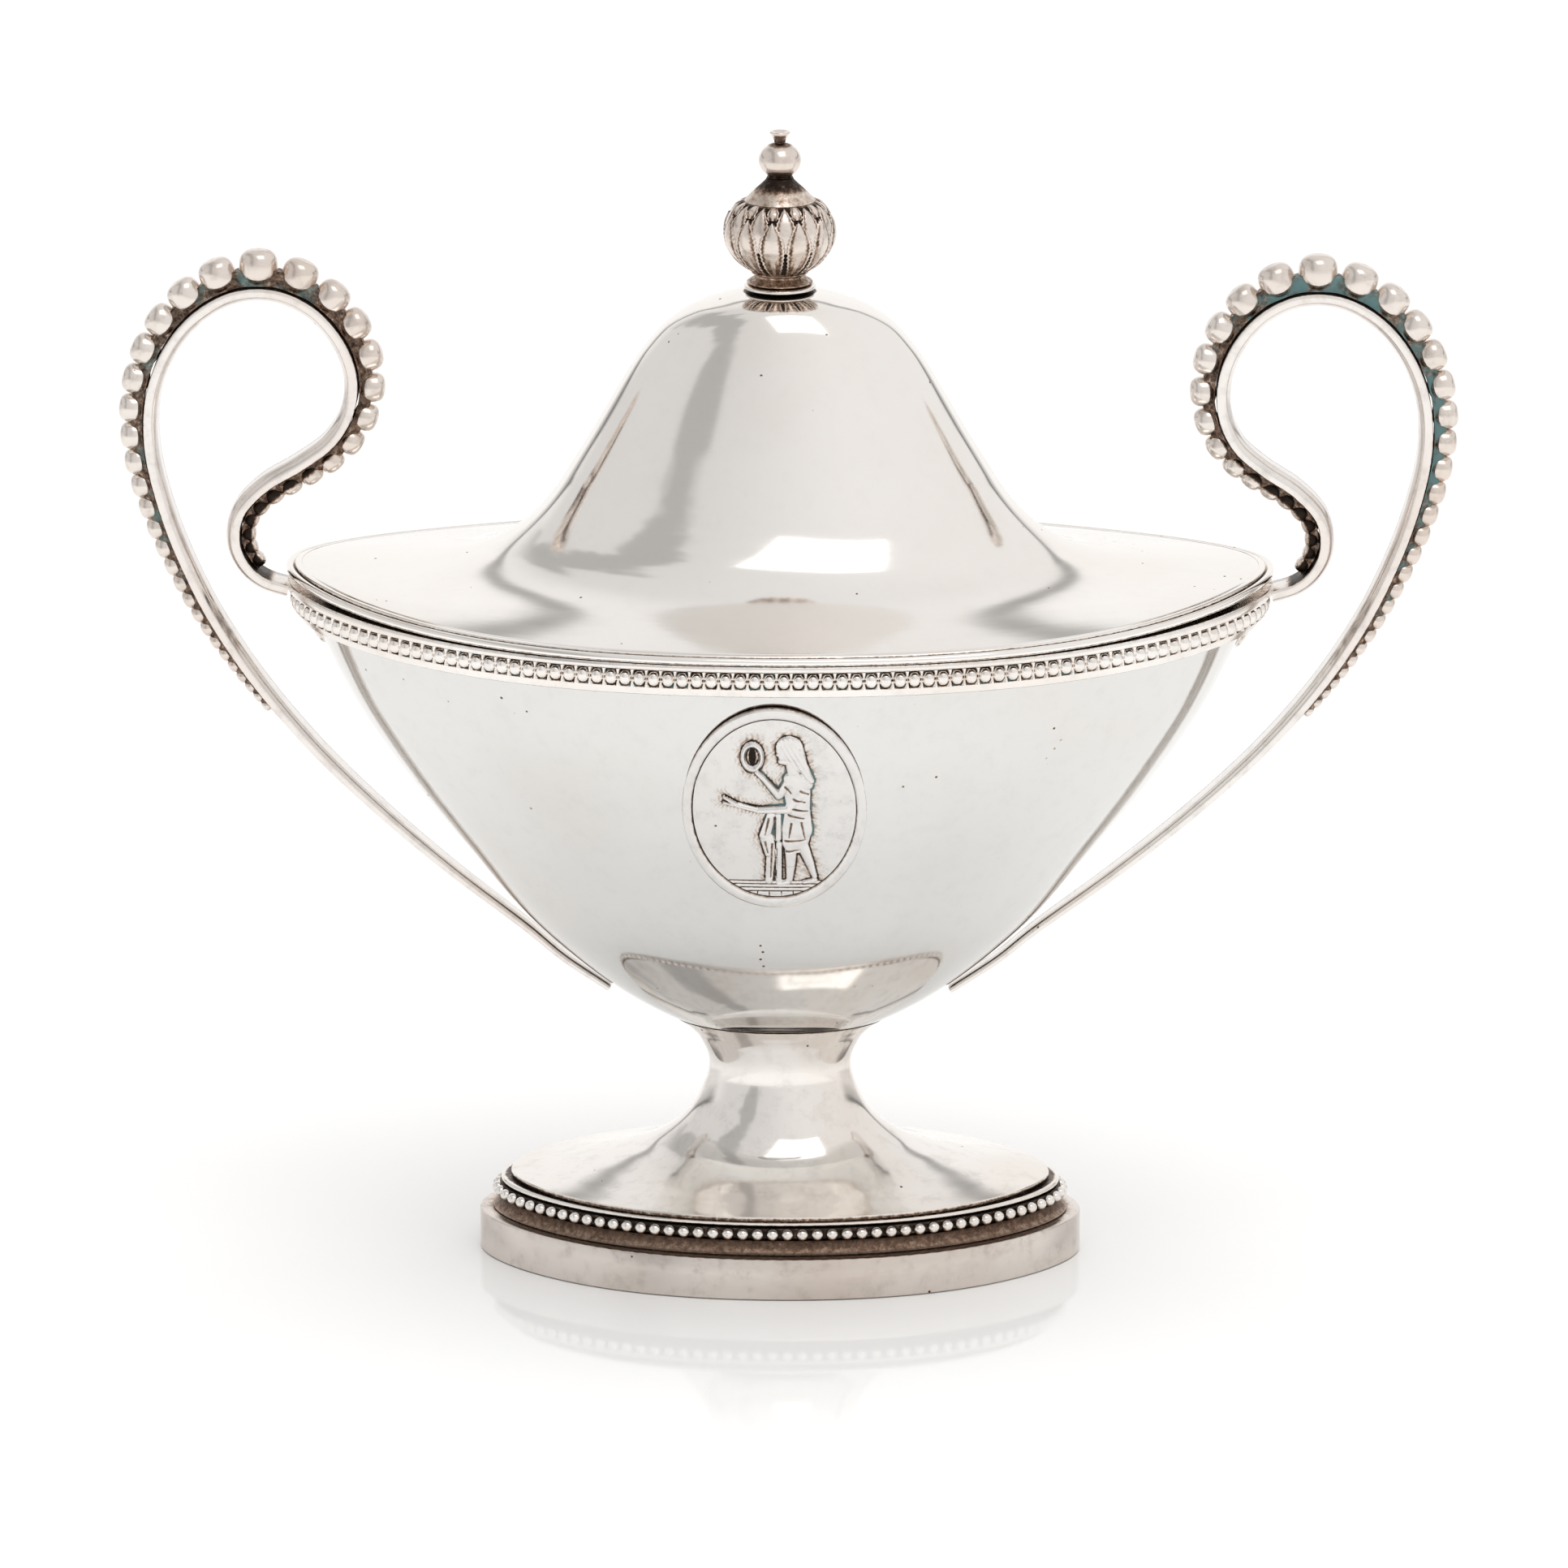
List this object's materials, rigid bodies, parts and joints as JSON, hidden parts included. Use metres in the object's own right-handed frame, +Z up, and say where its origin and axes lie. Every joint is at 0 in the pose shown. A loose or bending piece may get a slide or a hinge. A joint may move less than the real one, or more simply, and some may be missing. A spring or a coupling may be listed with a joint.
{
  "type": "covered sugar bowl",
  "caption": "Oval silver sugar bowl on a trumpet foot, with looped beaded handles, a front medallion and a domed lid with a bud finial that lifts off.",
  "frame": {"origin": "on the table, under the middle of the foot", "axes": "+X towards the right handle, -Y towards the front with the medallion, +Z up"},
  "size_m": [0.2167, 0.0986, 0.1885],
  "materials": {
    "polished_silver": "polished silver with fine wear scratches and a warm tint",
    "satin_silver": "softer silver, rubbed on the high places, grey in the recesses",
    "tarnished_silver": "chased silver with dark tarnish and traces of green in the recesses"
  },
  "bodies": {
    "root": {"bowl_body": "polished_silver", "rim_fillet": "polished_silver", "rim_bead_band": "satin_silver", "rim_wire": "polished_silver", "plinth_band": "polished_silver", "foot_cove": "tarnished_silver", "foot_bead_ring": "satin_silver", "foot_lip": "polished_silver", "foot_trumpet": "polished_silver", "left_handle_strip": "polished_silver", "left_handle_beads": "tarnished_silver", "left_handle_tongue": "satin_silver", "right_handle_strip": "polished_silver", "right_handle_beads": "tarnished_silver", "right_handle_tongue": "satin_silver", "medallion_plaque": "satin_silver", "medallion_frame": "satin_silver"},
    "lid": {"lid_shell": "polished_silver", "lid_moulding": "polished_silver", "lid_bezel": "satin_silver", "finial_collar": "satin_silver", "finial_bud": "tarnished_silver", "finial_ball": "polished_silver", "finial_button": "satin_silver", "finial_stud": "satin_silver", "finial_washer": "satin_silver", "finial_nut": "satin_silver"}
  },
  "joints": [
    {"name": "lid_lift", "type": "slide", "parent": "root", "child": "lid", "axis": [0, 0, 1], "range_m": [0, 0.0085]}
  ]
}
